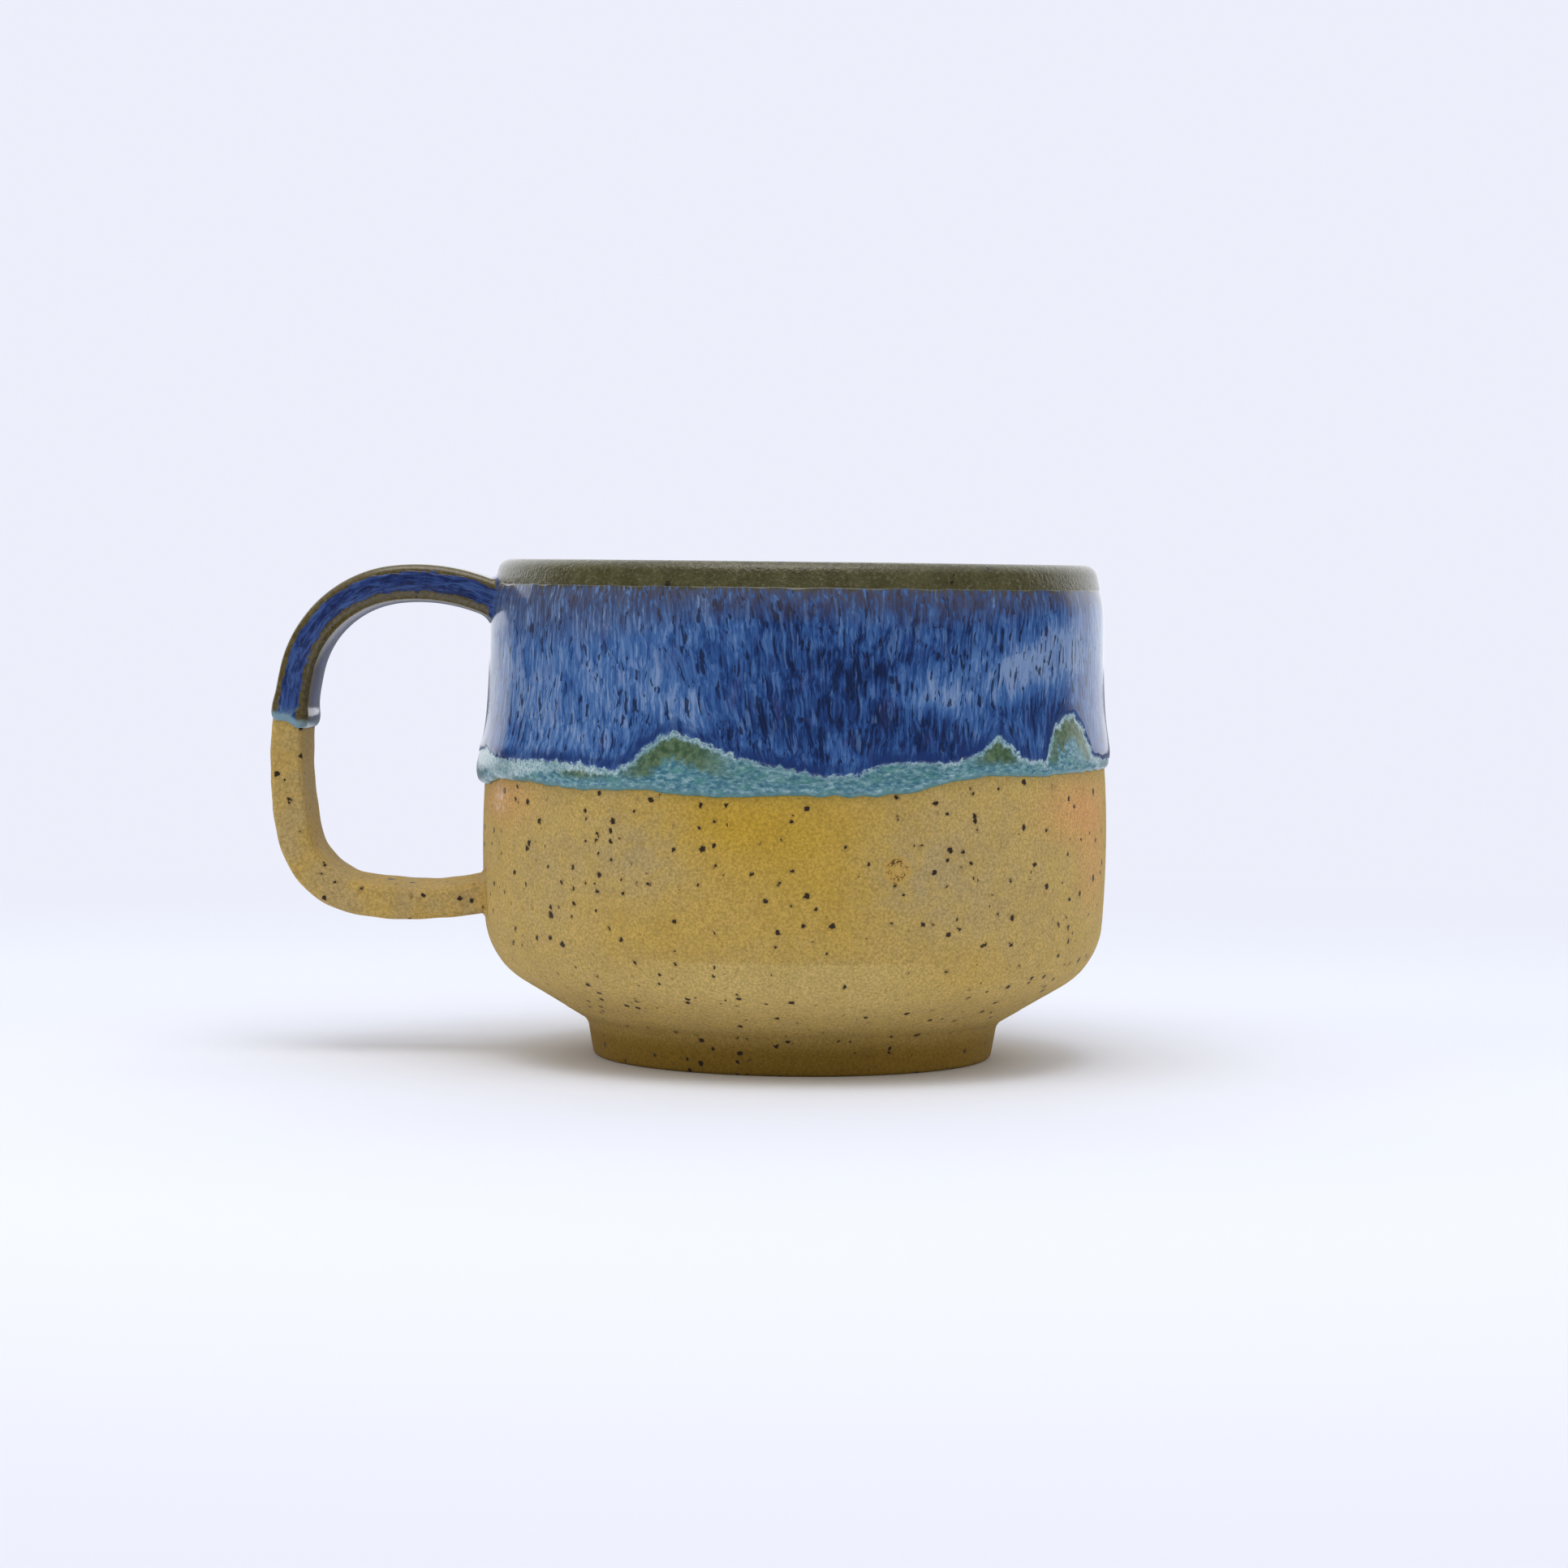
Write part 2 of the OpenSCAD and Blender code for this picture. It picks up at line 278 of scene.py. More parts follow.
def mark(piece, name, values):
    """Stores a value, or a vector, for each point."""
    values = np.asarray(values, np.float32)
    kind, key = ("FLOAT", "value") if values.ndim == 1 else ("FLOAT_VECTOR", "vector")
    piece.data.attributes.new(name, kind, "POINT").data.foreach_set(key, values.ravel())


def finish_piece(piece, node, material, angle):
    start_new()
    piece.select_set(True)
    bpy.context.view_layer.objects.active = piece
    set_mode("EDIT")
    bpy.ops.mesh.select_all(action="SELECT")
    bpy.ops.mesh.normals_make_consistent(inside=False)
    set_mode("OBJECT")
    bpy.ops.object.shade_smooth_by_angle(angle=math.radians(angle))
    piece.data.materials.clear()
    piece.data.materials.append(material)
    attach(piece, "root")
    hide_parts(node)
    return piece


# ---- shader building
def put(tree, kind, inputs=None, **settings):
    """Adds a node. An input is given a value or, with a socket, a link."""
    made = tree.nodes.new(kind)
    for key, value in settings.items():
        setattr(made, key, value)
    for key, value in (inputs or {}).items():
        if isinstance(value, bpy.types.NodeSocket):
            tree.links.new(value, made.inputs[key])
        else:
            made.inputs[key].default_value = value
    return made


def calc(tree, operation, a, b=0.0, c=0.0):
    return put(tree, "ShaderNodeMath", {0: a, 1: b, 2: c}, operation=operation).outputs[0]


def times(tree, a, b):
    return calc(tree, "MULTIPLY", a, b)


def rise(tree, value, low, high, to_low=0.0, to_high=1.0):
    """Value mapped smoothly from low..high to to_low..to_high, and held at both ends."""
    inputs = {"Value": value, "From Min": low, "From Max": high, "To Min": to_low, "To Max": to_high}
    return put(tree, "ShaderNodeMapRange", inputs, clamp=True,
               interpolation_type="SMOOTHSTEP").outputs["Result"]


def blend(tree, share, a, b, mode="MIX"):
    """Colour a changed towards colour b by share."""
    made = put(tree, "ShaderNodeMix", {0: share}, data_type="RGBA", blend_type=mode)
    for socket, colour in zip(made.inputs[6:8], (a, b)):
        if isinstance(colour, bpy.types.NodeSocket):
            tree.links.new(colour, socket)
        else:
            socket.default_value = (*colour, 1)
    return made.outputs[2]


def tint(tree, value, limits, a, b):
    """Colour a changed towards b as value goes from low to high; limits is (low, high[, most])."""
    low, high, *most = limits
    return blend(tree, rise(tree, value, low, high, 0, *most), a, b)


def ramp(tree, value, stops):
    """Colour read off a ramp of (place, colour) stops."""
    made = put(tree, "ShaderNodeValToRGB", {"Fac": value})
    elements = made.color_ramp.elements
    for place, _ in stops[2:]:
        elements.new(place)
    for element, (place, colour) in zip(elements, stops):
        element.position = place
        element.color = (*colour, 1)
    return made.outputs["Color"]


def noise(tree, at, scale, detail=3.0, roughness=0.5):
    inputs = {"Vector": at, "Scale": scale, "Detail": detail, "Roughness": roughness}
    return put(tree, "ShaderNodeTexNoise", inputs).outputs["Fac"]


def vector_calc(tree, operation, a, b=(0, 0, 0)):
    return put(tree, "ShaderNodeVectorMath", {0: a, 1: b}, operation=operation).outputs


def stretched(tree, at, x, y, z):
    return vector_calc(tree, "MULTIPLY", at, (x, y, z))[0]


def pushed(tree, at, scale, reach):
    """Place pushed about by a slow noise, by up to half the reach (x, y, z)."""
    slow = put(tree, "ShaderNodeTexNoise", {"Vector": at, "Scale": scale, "Detail": 2.0})
    shift = vector_calc(tree, "SUBTRACT", slow.outputs["Color"], (0.5, 0.5, 0.5))[0]
    return vector_calc(tree, "ADD", at, stretched(tree, shift, *reach))[0]


def attribute(tree, name, vector=False):
    made = put(tree, "ShaderNodeAttribute", attribute_name=name)
    return made.outputs["Vector" if vector else "Fac"]


def place_mm(tree):
    """Object coordinates in millimetres."""
    at = put(tree, "ShaderNodeTexCoord").outputs["Object"]
    return stretched(tree, at, 1000, 1000, 1000)


def new_group(name, inputs, outputs):
    """Node group with its sockets, as (group, tree's input sockets, function that links an output)."""
    group = bpy.data.node_groups.new(name, "ShaderNodeTree")
    kinds = {"v": "NodeSocketVector", "f": "NodeSocketFloat", "c": "NodeSocketColor"}
    for label, kind in inputs:
        group.interface.new_socket(label, in_out="INPUT", socket_type=kinds[kind])
    for label, kind in outputs:
        group.interface.new_socket(label, in_out="OUTPUT", socket_type=kinds[kind])
    entry, leave = group.nodes.new("NodeGroupInput"), group.nodes.new("NodeGroupOutput")
    return group, entry.outputs, lambda label, socket: group.links.new(socket, leave.inputs[label])


def use_group(tree, group, inputs):
    return put(tree, "ShaderNodeGroup", inputs, node_tree=group).outputs


def new_material(name):
    """Material as (material, tree, its Principled BSDF)."""
    material = bpy.data.materials.new(name)
    material.use_nodes = True
    tree = material.node_tree
    return material, tree, tree.nodes["Principled BSDF"]


CLAY_IOR, GLAZE_IOR = 1.45, 1.52
CLAY_SHINE = 0.3


def surface(tree, shader, colour, roughness, height, depth, ior):
    """Joins colour, roughness and a bump of the given depth in metres to the shader."""
    tree.links.new(colour, shader.inputs["Base Color"])
    if isinstance(roughness, bpy.types.NodeSocket):
        tree.links.new(roughness, shader.inputs["Roughness"])
    else:
        shader.inputs["Roughness"].default_value = roughness
    bump = put(tree, "ShaderNodeBump", {"Height": height, "Distance": depth, "Strength": 1.0})
    tree.links.new(bump.outputs[0], shader.inputs["Normal"])
    shader.inputs["IOR"].default_value = ior


# ---- clay
def specks_group():
    """Iron specks in fired clay: a mask of the specks, and one of the stain round them."""
    group, entry, leave = new_group("iron_specks", [("At", "v"), ("Cell", "f"), ("Biggest", "f"),
                                                    ("Common", "f")],
                                    [("Speck", "f"), ("Stain", "f")])
    at = pushed(group, entry["At"], 1.6, (0.9, 0.9, 0.9))
    size = calc(group, "DIVIDE", 1.0, entry["Cell"])
    cells = put(group, "ShaderNodeTexVoronoi", {"Vector": at, "Scale": size, "Randomness": 1.0})
    distance = times(group, cells.outputs["Distance"], entry["Cell"])
    chance = put(group, "ShaderNodeSeparateColor", {"Color": cells.outputs["Color"]}).outputs
    radius = times(group, calc(group, "POWER", chance[0], 1.5), entry["Biggest"])
    radius = times(group, radius, calc(group, "LESS_THAN", chance[1], entry["Common"]))
    inside = calc(group, "SUBTRACT", radius, distance)
    leave("Speck", rise(group, inside, -0.03, 0.06))
    leave("Stain", rise(group, inside, -0.35, 0.05))
    return group


def clay_group(specks):
    """Sandy stoneware: base colour in, speckled colour, roughness and relief out."""
    group, entry, leave = new_group("speckled_clay", [("At", "v"), ("Base", "c")],
                                    [("Colour", "c"), ("Roughness", "f"), ("Height", "f")])
    at, base = entry["At"], entry["Base"]
    grain = noise(group, at, 2.4, 4.0, 0.72)
    cloud = noise(group, at, 0.16, 3.0, 0.55)
    sand = noise(group, at, 8.0, 2.0, 0.6)
    light = blend(group, 1.0, base, (1.28, 1.26, 1.38), "MULTIPLY")
    dark = blend(group, 1.0, base, (0.66, 0.61, 0.54), "MULTIPLY")
    colour = tint(group, grain, (0.47, 0.62, 0.95), base, light)
    colour = tint(group, grain, (0.5, 0.34, 0.6), colour, dark)
    colour = tint(group, sand, (0.62, 0.74, 0.45), colour, (0.72, 0.58, 0.33))
    colour = tint(group, sand, (0.36, 0.28, 0.5), colour, dark)
    colour = tint(group, cloud, (0.42, 0.66, 0.14), colour, dark)
    big = use_group(group, specks, {"At": at, "Cell": 1.95, "Biggest": 0.53, "Common": 0.85})
    small = use_group(group, specks, {"At": stretched(group, at, 1.03, 0.97, 1.01), "Cell": 1.7,
                                      "Biggest": 0.28, "Common": 0.4})
    stain = times(group, big["Stain"], 0.35)
    colour = blend(group, stain, colour, (0.22, 0.12, 0.04))
    mask = calc(group, "MAXIMUM", big["Speck"], small["Speck"])
    glint = noise(group, at, 6.0, 2.0)
    iron = tint(group, glint, (0.45, 0.65), (0.008, 0.005, 0.004), (0.034, 0.014, 0.008))
    leave("Colour", blend(group, times(group, mask, 0.96), colour, iron))
    leave("Roughness", rise(group, mask, 0.0, 1.0, 0.8, 0.42))
    relief = calc(group, "MULTIPLY_ADD", grain, 0.5, times(group, sand, 0.35))
    leave("Height", calc(group, "SUBTRACT", relief, times(group, mask, 0.5)))
    return group


# Where the bare clay changes colour: angle, height, reach across and up in mm, and share
OCHRE_PATCHES = [
    (262, 40, 34, 14, 0.9), (276, 30, 26, 18, 0.6), (248, 24, 24, 12, 0.4), (300, 17, 20, 7, 0.3),
    (90, 38, 34, 14, 0.6)]
GREY_PATCHES = [
    (241, 35, 15, 12, 0.75), (294, 32, 17, 15, 0.85), (222, 30, 14, 14, 0.4), (312, 30, 14, 16, 0.4),
    (40, 28, 30, 20, 0.6), (120, 34, 26, 22, 0.6)]
FLASH_PATCHES = [
    (334, 41, 20, 8, 0.75), (340, 33, 12, 12, 0.45), (203, 42, 18, 7, 0.55), (60, 45, 40, 9, 0.6),
    (130, 44, 30, 8, 0.6)]


def zone(tree, at, degrees, z, across, tall):
    """Soft oval patch on the cup's wall, centred at an angle and height, with its reach in mm."""
    a = math.radians(degrees)
    centre = (cup_r * math.cos(a), cup_r * math.sin(a), z)
    off = vector_calc(tree, "SUBTRACT", at, centre)[0]
    scaled = stretched(tree, off, 1 / across, 1 / across, 1 / tall)
    return rise(tree, vector_calc(tree, "LENGTH", scaled)["Value"], 1.0, 0.0)


def patched(tree, at, base, places, colour, fade=1.0):
    """Base colour changed towards another one in patches, which fade scales."""
    for degrees, z, across, tall, share in places:
        patch = times(tree, zone(tree, at, degrees, z, across, tall), fade)
        base = blend(tree, times(tree, patch, share), base, colour)
    return base


def cup_clay_material(clay):
    material, tree, shader = new_material("cup_stoneware")
    at = place_mm(tree)
    height = put(tree, "ShaderNodeSeparateXYZ", {"Vector": at}).outputs["Z"]
    mottle = noise(tree, at, 0.35, 3.0, 0.6)
    base = tint(tree, mottle, (0.4, 0.62), (0.56, 0.395, 0.118), (0.53, 0.375, 0.128))
    base = patched(tree, at, base, OCHRE_PATCHES, (0.56, 0.35, 0.03))
    clouded = rise(tree, mottle, 0.35, 0.6, 0.45, 1.0)
    base = patched(tree, at, base, GREY_PATCHES, (0.455, 0.348, 0.158), clouded)
    base = patched(tree, at, base, FLASH_PATCHES, (0.72, 0.36, 0.13))
    # Paler clay over the trimmed lower cone: painted light, standing in for light bounced up from the floor
    base = blend(tree, times(tree, attribute(tree, "trimmed"), 0.6), base, (0.66, 0.49, 0.165))
    # Darker towards the foot: partly the foot's own darker olive clay, partly painted shade for the shadow
    # under the belly's overhang
    base = tint(tree, height, (8.5, 3.0, 0.95), base, (0.25, 0.15, 0.016))
    out = use_group(tree, clay, {"At": at, "Base": base})
    scuff = zone(tree, at, 202, 41.5, 5.5, 3.5)
    scratch = noise(tree, stretched(tree, at, 1, 1, 0.4), 2.4, 3.0)
    scuff = times(tree, scuff, rise(tree, scratch, 0.48, 0.56))
    colour = blend(tree, scuff, out["Colour"], (0.8, 0.6, 0.44))
    scar = attribute(tree, "blemish")
    pits = noise(tree, at, 3.2, 2.0, 0.5)
    bare = times(tree, rise(tree, scar, 0.05, 0.5), 0.55)
    colour = blend(tree, bare, colour, (0.68, 0.42, 0.09))
    pitted = times(tree, rise(tree, scar, 0.45, 0.95), rise(tree, pits, 0.5, 0.56))
    colour = blend(tree, times(tree, pitted, 0.9), colour, (0.1, 0.045, 0.012))
    surface(tree, shader, colour, out["Roughness"], out["Height"], 0.00014, CLAY_IOR)
    shader.inputs["Specular IOR Level"].default_value = CLAY_SHINE
    return material


def handle_clay_material(clay, name, colour):
    material, tree, shader = new_material(name)
    at = place_mm(tree)
    mottle = noise(tree, at, 0.2, 3.0, 0.6)
    base = tint(tree, mottle, (0.35, 0.65), colour, (0.5, 0.36, 0.14))
    out = use_group(tree, clay, {"At": at, "Base": base})
    surface(tree, shader, out["Colour"], out["Roughness"], out["Height"], 0.00012, CLAY_IOR)
    shader.inputs["Specular IOR Level"].default_value = CLAY_SHINE
    return material


# ---- glaze
def streaks_group():
    """Runs of light and dark glaze down a wall. At is in mm, with Z along the run."""
    group, entry, leave = new_group("glaze_streaks", [("At", "v")],
                                    [("Tone", "f"), ("Dark", "f"), ("Pale", "f"), ("Fine", "f")])
    at = pushed(group, entry["At"], 0.22, (1.3, 1.3, 6.0))
    fine = noise(group, stretched(group, at, 2.0, 2.0, 0.3), 1.0, 4.0, 0.66)
    dashes = noise(group, stretched(group, at, 1.5, 1.5, 0.36), 1.0, 2.0, 0.5)
    lights = noise(group, stretched(group, at, 1.2, 1.2, 0.17), 1.0, 3.0, 0.55)
    broad = noise(group, stretched(group, at, 0.5, 0.5, 0.12), 1.0, 3.0, 0.6)
    patch = noise(group, at, 0.09, 3.0, 0.55)
    tone = calc(group, "MULTIPLY_ADD", fine, 0.5, times(group, broad, 0.3))
    leave("Tone", calc(group, "MULTIPLY_ADD", patch, 0.2, tone))
    leave("Dark", rise(group, dashes, 0.595, 0.65))
    leave("Pale", rise(group, lights, 0.55, 0.66))
    leave("Fine", fine)
    return group


def olive_group():
    """Thin olive brown glaze over the lip."""
    group, entry, leave = new_group("olive_glaze", [("At", "v")], [("Colour", "c"), ("Grain", "f")])
    at = entry["At"]
    cloud = noise(group, at, 0.3, 3.0, 0.6)
    grain = noise(group, at, 1.7, 3.0, 0.62)
    colour = tint(group, cloud, (0.38, 0.62), (0.074, 0.066, 0.022), (0.098, 0.09, 0.034))
    colour = tint(group, grain, (0.52, 0.72, 0.55), colour, (0.22, 0.205, 0.12))
    leave("Colour", tint(group, grain, (0.44, 0.28, 0.6), colour, (0.036, 0.03, 0.01)))
    leave("Grain", grain)
    return group


# What wall_marks stores for the glaze on the wall, one number for each point
WALL_MARKS = ("Border", "Edge", "Milk", "Brown", "Rim", "Green", "Froth")


def wall_glaze_group(streaks, olive_glaze):
    """Turquoise base coat and streaked blue over-coat on a wall, told apart by the distance to the border."""
    group, entry, leave = new_group(
        "wall_glaze", [("At", "v"), ("Flow", "v")] + [(label, "f") for label in WALL_MARKS],
        [("Colour", "c"), ("Roughness", "f"), ("Height", "f")])
    at, edge = entry["At"], entry["Edge"]
    ragged = noise(group, at, 1.0, 4.0, 0.65)
    froth_noise = noise(group, at, 2.6, 3.0, 0.65)
    slow = noise(group, at, 0.16, 2.0, 0.5)
    border = calc(group, "ADD", entry["Border"], calc(group, "MULTIPLY_ADD", ragged, 2.2, -1.1))

    # Blue over-coat: tone runs from navy to milky slate
    run = use_group(group, streaks, {"At": entry["Flow"]})
    tone = calc(group, "MULTIPLY_ADD", entry["Milk"], 0.22, calc(group, "SUBTRACT", run["Tone"], 0.08))
    blue = ramp(group, tone, [
        (0.37, (0.008, 0.02, 0.078)), (0.42, (0.015, 0.05, 0.19)), (0.48, (0.036, 0.106, 0.32)),
        (0.55, (0.07, 0.175, 0.43)), (0.64, (0.24, 0.35, 0.58))])
    blue = blend(group, times(group, run["Pale"], 0.42), blue, (0.16, 0.3, 0.59))
    blue = blend(group, times(group, run["Dark"], 0.85), blue, (0.008, 0.014, 0.05))
    violet = noise(group, stretched(group, at, 0.5, 0.5, 0.16), 1.0, 3.0, 0.6)
    blue = tint(group, violet, (0.56, 0.72, 0.3), blue, (0.075, 0.066, 0.19))
    brown = times(group, entry["Brown"], rise(group, run["Fine"], 0.68, 0.44))
    blue = blend(group, times(group, brown, 0.9), blue, (0.098, 0.084, 0.092))
    line = times(group, rise(group, border, 2.4, 0.9), rise(group, border, 0.1, 0.5))
    line = times(group, line, rise(group, slow, 0.35, 0.6, 0.35, 0.95))
    blue = blend(group, line, blue, (0.014, 0.04, 0.165))

    # Base coat: crystals of turquoise, green where the blue thins, and froth along the blue coat's border
    flat = stretched(group, at, 0.75, 0.75, 1.7)
    crystals = noise(group, flat, 1.1, 4.0, 0.7)
    teal = ramp(group, crystals, [
        (0.3, (0.035, 0.11, 0.21)), (0.42, (0.065, 0.2, 0.27)), (0.52, (0.14, 0.31, 0.36)),
        (0.62, (0.29, 0.48, 0.53)), (0.74, (0.5, 0.66, 0.71))])
    teal = blend(group, rise(group, noise(group, flat, 0.45, 2.0), 0.54, 0.66, 0.0, 0.5), teal,
                 (0.09, 0.29, 0.25))
    green = tint(group, ragged, (0.35, 0.65), (0.055, 0.105, 0.05), (0.15, 0.23, 0.125))
    deep = calc(group, "MULTIPLY_ADD", noise(group, at, 0.7, 2.0), 2.6, border)
    green_share = times(group, rise(group, border, -0.3, -0.8), rise(group, deep, -3.0, -1.4))
    green_share = times(group, green_share, rise(group, edge, 1.2, 2.6))
    green_share = times(group, green_share, entry["Green"])
    base = blend(group, green_share, teal, green)
    base = tint(group, edge, (0.9, 0.2, 0.75), base, (0.07, 0.23, 0.23))
    froth = tint(group, froth_noise, (0.35, 0.62), (0.23, 0.43, 0.47), (0.62, 0.76, 0.8))
    foam = times(group, rise(group, border, 0.35, 0.0),
                rise(group, calc(group, "ADD", border, entry["Froth"]), -0.3, 0.5))
    foam = times(group, foam, rise(group, slow, 0.62, 0.42, 0.45, 0.95))
    foam = times(group, foam, rise(group, froth_noise, 0.3, 0.5, 0.35, 1.0))
    base = blend(group, foam, base, froth)
    over = rise(group, border, -0.05, 0.35)
    colour = blend(group, over, base, blue)

    # The blue thins out into the olive coat of the lip
    rim = calc(group, "MULTIPLY_ADD", calc(group, "SUBTRACT", run["Fine"], 0.5), 2.4, entry["Rim"])
    olive = use_group(group, olive_glaze, {"At": at})["Colour"]
    leave("Colour", tint(group, rim, (0.8, 0.0), colour, olive))
    leave("Roughness", rise(group, foam, 0.0, 1.0, 0.06, 0.24))
    waves = times(group, run["Fine"], over)
    lumps = times(group, calc(group, "SUBTRACT", 1.0, over), froth_noise)
    leave("Height", calc(group, "ADD", times(group, waves, 0.35), lumps))
    return group


def wall_glaze_material(name, wall):
    material, tree, shader = new_material(name)
    inputs = {"At": place_mm(tree), "Flow": attribute(tree, "flow", vector=True)}
    for label in WALL_MARKS:
        inputs[label] = attribute(tree, label.lower())
    out = use_group(tree, wall, inputs)
    surface(tree, shader, out["Colour"], out["Roughness"], out["Height"], 0.00005, GLAZE_IOR)
    return material


def lip_material(olive_glaze, specks):
    material, tree, shader = new_material("lip_glaze")
    at = place_mm(tree)
    olive = use_group(tree, olive_glaze, {"At": at})
    dots = use_group(tree, specks, {"At": at, "Cell": 2.4, "Biggest": 0.55, "Common": 0.8})
    colour = blend(tree, times(tree, dots["Speck"], 0.85), olive["Colour"], (0.012, 0.01, 0.006))
    surface(tree, shader, colour, 0.1, olive["Grain"], 0.00018, GLAZE_IOR)
    return material


def liner_material(streaks):
    material, tree, shader = new_material("liner_glaze")
    at = place_mm(tree)
    height = put(tree, "ShaderNodeSeparateXYZ", {"Vector": at}).outputs["Z"]
    mottle = noise(tree, at, 0.9, 3.0, 0.6)
    run = use_group(tree, streaks, {"At": at})
    teal = tint(tree, mottle, (0.38, 0.62), (0.11, 0.27, 0.27), (0.23, 0.42, 0.4))
    blue = tint(tree, run["Tone"], (0.42, 0.58), (0.04, 0.11, 0.33), (0.19, 0.31, 0.58))
    blue = blend(tree, times(tree, run["Dark"], 0.6), blue, (0.02, 0.04, 0.12))
    drips = noise(tree, stretched(tree, at, 1, 1, 0.2), 0.22)
    edge = calc(tree, "MULTIPLY_ADD", drips, 26, height)
    colour = tint(tree, edge, (48.0, 56.0), teal, blue)
    colour = tint(tree, height, (19.0, 11.0, 0.6), colour, (0.06, 0.17, 0.19))
    colour = tint(tree, height, (71.5, 74.5), colour, (0.12, 0.115, 0.05))
    surface(tree, shader, colour, 0.12, mottle, 0.00005, GLAZE_IOR)
    return material


def handle_glaze_material(name, streaks, specks):
    """Breaks to olive brown along the strap's edges and pools blue between them."""
    material, tree, shader = new_material(name)
    at = place_mm(tree)
    along, across = attribute(tree, "along"), attribute(tree, "across")
    inset, drop = attribute(tree, "inset"), attribute(tree, "drop")
    lines = put(tree, "ShaderNodeCombineXYZ", {"X": across, "Y": inset, "Z": along}).outputs[0]
    run = use_group(tree, streaks, {"At": lines})
    cloud = noise(tree, at, 0.8, 3.0, 0.6)
    ragged = noise(tree, at, 1.5, 4.0, 0.7)
    olive = tint(tree, ragged, (0.35, 0.65), (0.085, 0.06, 0.014), (0.15, 0.12, 0.045))
    dots = use_group(tree, specks, {"At": at, "Cell": 2.6, "Biggest": 0.45, "Common": 0.6})
    olive = blend(tree, times(tree, dots["Speck"], 0.85), olive, (0.012, 0.008, 0.005))
    blue = tint(tree, cloud, (0.35, 0.65), (0.01, 0.022, 0.105), (0.024, 0.052, 0.2))
    blue = tint(tree, run["Tone"], (0.45, 0.58, 0.75), blue, (0.075, 0.15, 0.4))
    blue = blend(tree, times(tree, run["Dark"], 0.7), blue, (0.014, 0.018, 0.06))
    wavy = calc(tree, "ADD", inset, calc(tree, "MULTIPLY_ADD", cloud, 1.4, -0.7))
    pool = rise(tree, wavy, 0.85, 1.15)
    colour = blend(tree, pool, olive, blue)
    teal = times(tree, rise(tree, drop, 3.2, 0.9), pool)
    colour = blend(tree, times(tree, teal, 0.4), colour, (0.05, 0.15, 0.28))
    end = calc(tree, "ADD", drop, calc(tree, "MULTIPLY_ADD", ragged, 1.0, -0.5))
    pale = times(tree, rise(tree, end, 1.7, 0.9), 0.85)
    colour = blend(tree, pale, colour, (0.22, 0.38, 0.45))
    surface(tree, shader, colour, 0.12, run["Fine"], 0.00004, GLAZE_IOR)
    return material


# ---- pieces
# Heights between which the belly was trimmed flat, and the angle where that is deepest
FACET = (14.6, 18.7)
FACET_FRONT = 269
# Height up to which turning lines show, and the height above which the glaze lets the rows be sparser
TURNED_TOP, DENSE_TOP = 50, 47
# Where the scar lies, and the radius of its rim
SCAR_ANGLE, SCAR_Z, SCAR_R = 288, 33.1, 1.45


def cup_clay(material):
    """The thrown and turned cup, with fine turning lines, a flat trimmed on the belly and a scar."""
    foot = walk((0, RECESS, 0), foot_moves, 1.2)[:-1]
    wall = walk(foot_end, wall_moves, 0.66)
    low = [s for s in wall if s[1] < DENSE_TOP]
    high = [s for s in wall if s[1] >= DENSE_TOP][::6]
    inside = walk(lip_end, inside_moves, 4)
    states = foot + low + high + walk(wall_end, lip_moves, 1.5)[:-1] + inside
    piece = spun("thrown_cup", [(max(s[0], 0), s[1]) for s in states], steps=400)
    r, degrees, z = polar_points(piece)
    outside = (r > wall_r(z) - 0.5) & (z > foot_end[1] - 5) & (z < TURNED_TOP)
    heights = np.arange(0, TURNED_TOP, 0.05)
    lines = sum(np.sin(heights * f + p) * s for f, p, s in
                zip((2.1, 4.7, 7.9, 11.3), rng.uniform(0, 6, 4), (0.4, 0.3, 0.2, 0.1)))
    spiral = z + degrees / 360 * 0.9
    cut = 0.028 * (1 - np.interp(spiral % TURNED_TOP, heights, lines))
    cut *= np.interp(z, [0, 8, 20, 24, 45], [1, 1, 0.8, 0.35, 0.25])
    lean = 0.12 * (1 + np.sin(np.radians(degrees * 2 + 40))) / 2 * np.clip((TURNED_TOP - z) / 4, 0, 1)
    low, high = FACET
    flat_r = np.interp(z, [low, high], [wall_r(low), wall_r(high)])
    facet = np.clip(1.6 - np.abs(around(degrees, FACET_FRONT)) / 24, 0.12, 1)
    trim = np.where((z > low) & (z < high), (wall_r(z) - flat_r) * facet, 0)
    away = np.hypot(around(degrees, SCAR_ANGLE) * math.radians(1) * cup_r, z - SCAR_Z)
    scar = np.exp(-((away - SCAR_R) / 0.5) ** 2) + 0.45 * np.exp(-(away / 1.3) ** 4)
    push = -(cut + lean * (z > 8)) - trim - 0.1 * scar
    r = np.where(outside, r + push, r)
    set_points(piece, from_polar(r, degrees, z))
    mark(piece, "blemish", np.where(outside, scar, 0))
    # Share of the painted floor bounce light on the trimmed lower cone, strongest at the front
    below = outside & (z < high) & (z > 8)
    mark(piece, "trimmed", np.where(below, facet * np.clip((z - 7) / 6, 0, 1), 0))
    return finish_piece(piece, "cup_body", material, 60)


# Radii that tell a coat's outer and inner skin apart until it is shaped, and the least it is thick
OUTER_R, INNER_R = 51, 49
THINNEST = 0.02


def coat_template(name, rows, inner_rows):
    """Closed band: an outer skin and an inner one, with the outer rows 1 mm apart."""
    outer = [(OUTER_R, k) for k in range(rows)]
    inner = [(INNER_R, k) for k in np.linspace(rows - 1, 0, inner_rows)]
    return spun(name, outer + inner, closed=True)


